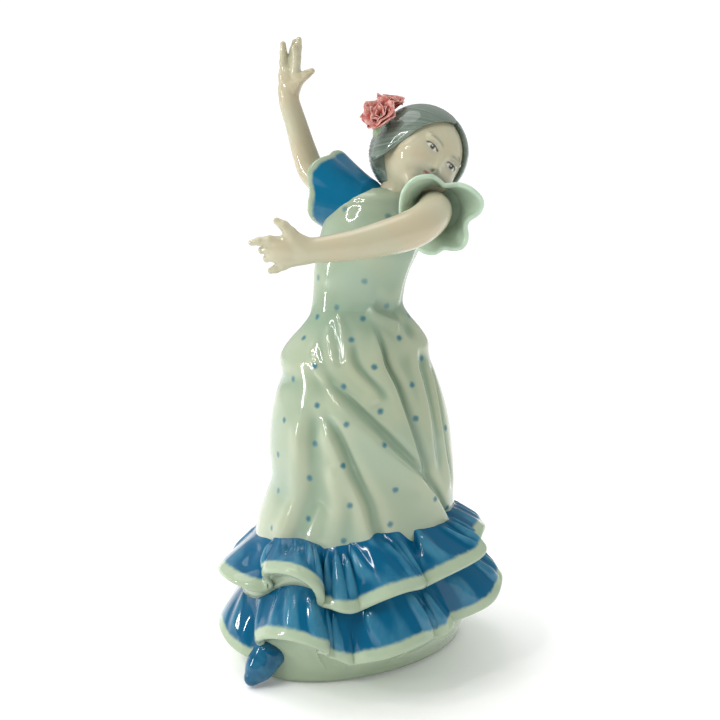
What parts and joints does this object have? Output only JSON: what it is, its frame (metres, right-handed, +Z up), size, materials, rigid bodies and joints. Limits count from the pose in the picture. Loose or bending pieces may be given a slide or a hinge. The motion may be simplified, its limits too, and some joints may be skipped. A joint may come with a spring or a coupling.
{
  "type": "souvenir figurine",
  "caption": "Glazed porcelain figurine of a dancing girl in a flounced, spotted dress, one arm raised, with flowers in the hair.",
  "frame": {"origin": "centre of the bounding box in plan, at the height of the surface that the figurine stands on", "axes": "+Z up through the figurine, -Y the side that the figure faces, +X towards the side that the head leans to"},
  "size_m": [0.1026, 0.0972, 0.2201],
  "materials": {
    "celadon_glaze": "glossy pale green glaze with small blue spots",
    "blue_glaze": "glossy blue glaze, thinner and paler on the ridges, with pale green rims",
    "skin_glaze": "glossy cream glaze",
    "hair_glaze": "glossy slate green glaze",
    "petal_bisque": "thin matt red and pink petals",
    "leaf_glaze": "satin green"
  },
  "bodies": {
    "root": {"back_calyx": "leaf_glaze", "back_carnation_heart": "petal_bisque", "back_carnation_inner_petal_1": "petal_bisque", "back_carnation_inner_petal_2": "petal_bisque", "back_carnation_inner_petal_3": "petal_bisque", "back_carnation_inner_petal_4": "petal_bisque", "back_carnation_outer_petal_1": "petal_bisque", "back_carnation_outer_petal_2": "petal_bisque", "back_carnation_outer_petal_3": "petal_bisque", "back_carnation_outer_petal_4": "petal_bisque", "back_carnation_outer_petal_5": "petal_bisque", "base_disc": "celadon_glaze", "carnation_leaf": "leaf_glaze", "front_calyx": "leaf_glaze", "front_carnation_heart": "petal_bisque", "front_carnation_inner_petal_1": "petal_bisque", "front_carnation_inner_petal_2": "petal_bisque", "front_carnation_inner_petal_3": "petal_bisque", "front_carnation_inner_petal_4": "petal_bisque", "front_carnation_inner_petal_5": "petal_bisque", "front_carnation_outer_petal_1": "petal_bisque", "front_carnation_outer_petal_2": "petal_bisque", "front_carnation_outer_petal_3": "petal_bisque", "front_carnation_outer_petal_4": "petal_bisque", "front_carnation_outer_petal_5": "petal_bisque", "front_carnation_outer_petal_6": "petal_bisque", "hair_bun": "hair_glaze", "hair_cap": "hair_glaze", "head_and_neck": "skin_glaze", "left_arm": "skin_glaze", "left_hand": "skin_glaze", "left_sleeve_ruffle": "celadon_glaze", "lower_flounce": "blue_glaze", "right_arm": "skin_glaze", "right_hand": "skin_glaze", "right_sleeve_ruffle": "blue_glaze", "shoe_toe": "blue_glaze", "skirt_shell": "celadon_glaze", "torso": "celadon_glaze", "underskirt_foot": "celadon_glaze", "upper_flounce": "blue_glaze"}
  },
  "joints": []
}
